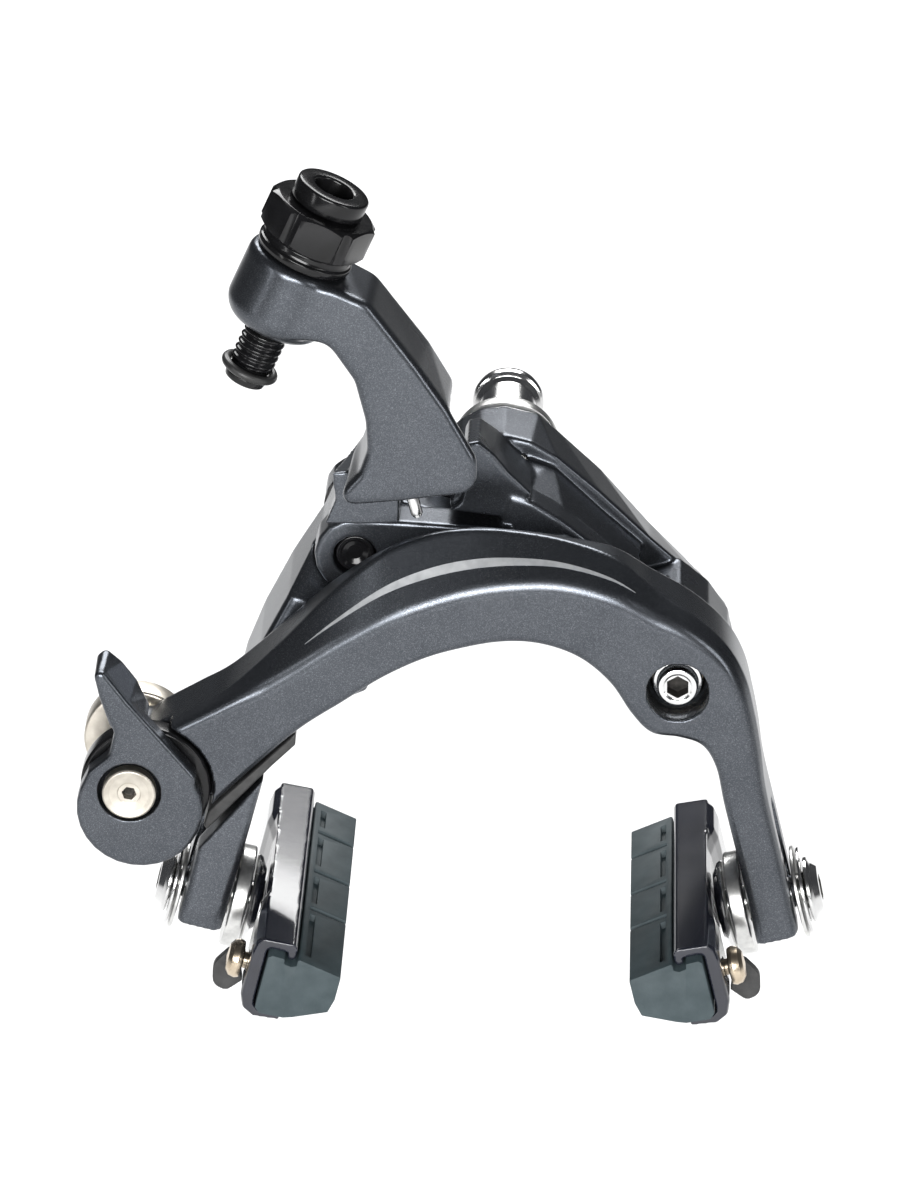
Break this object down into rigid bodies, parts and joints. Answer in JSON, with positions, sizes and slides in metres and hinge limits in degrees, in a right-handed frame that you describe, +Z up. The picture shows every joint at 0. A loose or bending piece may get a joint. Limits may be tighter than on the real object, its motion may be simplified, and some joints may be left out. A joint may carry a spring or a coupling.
{
  "type": "road bicycle rim brake caliper",
  "caption": "Symmetrical dual-pivot road rim brake caliper with quick release, barrel adjuster and cartridge brake shoes.",
  "frame": {"origin": "on the mounting bolt's axis, at the face of the serrated washer that meets the fork", "axes": "+Y along the mounting bolt towards the fork, +Z up, +X to the viewer's right from the front"},
  "size_m": [0.0993, 0.0725, 0.1109],
  "materials": {
    "arm_paint": "satin dark grey metallic paint on forged aluminium",
    "black_anodised": "gloss black anodised",
    "gloss_black": "gloss black paint",
    "chrome": "bright plated steel",
    "zinc_plate": "turned, zinc plated",
    "nickel_plate": "turned, satin nickel",
    "brass": "pale, turned",
    "brake_rubber": "moulded, blue grey",
    "seal_rubber": "smooth",
    "dark_nylon": "moulded, matt",
    "spring_steel": "drawn wire"
  },
  "bodies": {
    "bridge_body": {"bridge": "arm_paint", "mount_bolt": "zinc_plate", "serrated_washer": "zinc_plate", "mount_nut": "chrome", "right_pivot_bolt": "chrome", "left_pivot_bolt": "zinc_plate", "left_pivot_cap": "black_anodised", "right_pivot_washer": "dark_nylon", "left_pivot_washer": "dark_nylon", "return_spring": "spring_steel"},
    "c_arm": {"front_arm": "arm_paint", "right_pivot_bush": "brass", "link_pin": "chrome", "quick_release_bolt": "nickel_plate", "quick_release_cam": "black_anodised", "cable_clamp_plate": "nickel_plate", "cable_clamp_nut": "zinc_plate"},
    "lever": {"quick_release_lever": "arm_paint"},
    "y_arm": {"cable_arm": "arm_paint", "left_pivot_bush": "brass", "spring_slider": "dark_nylon", "adjuster_seat": "black_anodised"},
    "centring": {"centring_screw": "chrome"},
    "adjuster": {"adjuster_nut": "black_anodised"},
    "barrel": {"adjuster_barrel": "black_anodised", "barrel_o_ring": "seal_rubber"},
    "shoe_mount_right": {"shoe_bolt_right": "chrome", "outer_washer_right": "zinc_plate", "cup_washer_right": "chrome", "inner_washer_right": "zinc_plate", "toe_washer_right": "chrome"},
    "shoe_right": {"shoe_holder_right": "gloss_black", "brake_pad_right": "brake_rubber", "guide_fin_right": "dark_nylon", "pad_screw_right": "brass"},
    "shoe_mount_left": {"shoe_bolt_left": "chrome", "outer_washer_left": "zinc_plate", "cup_washer_left": "chrome", "inner_washer_left": "zinc_plate", "toe_washer_left": "chrome"},
    "shoe_left": {"shoe_holder_left": "gloss_black", "brake_pad_left": "brake_rubber", "guide_fin_left": "dark_nylon", "pad_screw_left": "brass"}
  },
  "joints": [
    {"name": "c_arm_pivot", "type": "hinge", "parent": "bridge_body", "child": "c_arm", "pos_m": [0.0234, -0.034, -0.0176], "axis": [0, 1, 0], "range_deg": [0, 11], "stiffness_Nm_per_rad": 0.8, "springref_deg": -34.38, "deforming": ["return_spring"]},
    {"name": "y_arm_pivot", "type": "hinge", "parent": "bridge_body", "child": "y_arm", "pos_m": [-0.0194, -0.015, -0.0049], "axis": [0, -1, 0], "range_deg": [0, 7.84]},
    {"name": "lever_turn", "type": "hinge", "parent": "c_arm", "child": "lever", "pos_m": [-0.0486, -0.042, -0.0314], "axis": [0, -1, 0], "range_deg": [0, 95]},
    {"name": "adjuster_turn", "type": "hinge", "parent": "y_arm", "child": "adjuster", "pos_m": [-0.0301, -0.0315, 0.0304], "axis": [0.4067, 0, 0.9135], "range_deg": [0, 2160]},
    {"name": "barrel_slide", "type": "slide", "parent": "y_arm", "child": "barrel", "axis": [0.4067, 0, 0.9135], "range_m": [0, 0.006]},
    {"name": "centring_turn", "type": "hinge", "parent": "y_arm", "child": "centring", "pos_m": [-0.0122, -0.0302, 0.008], "axis": [0.2425, 0, -0.9701], "range_deg": [-180, 180]},
    {"name": "shoe_slide_right", "type": "slide", "parent": "c_arm", "child": "shoe_mount_right", "axis": [-0.225, 0, 0.9744], "range_m": [0, 0.01]},
    {"name": "shoe_slide_left", "type": "slide", "parent": "y_arm", "child": "shoe_mount_left", "axis": [0.2419, 0, 0.9703], "range_m": [0, 0.006]},
    {"name": "shoe_tilt_right", "type": "hinge", "parent": "shoe_mount_right", "child": "shoe_right", "pos_m": [0.0366, -0.032, -0.0514], "axis": [0.9744, 0, 0.225], "range_deg": [-8, 8]},
    {"name": "shoe_tilt_left", "type": "hinge", "parent": "shoe_mount_left", "child": "shoe_left", "pos_m": [-0.0394, -0.032, -0.0512], "axis": [-0.9703, 0, 0.2419], "range_deg": [-8, 8]}
  ],
  "couplings": [
    {"joint": "y_arm_pivot", "follows": "c_arm_pivot", "ratio": 0.712},
    {"joint": "adjuster_turn", "follows": "barrel_slide", "rad_per_m": 6283.2}
  ]
}
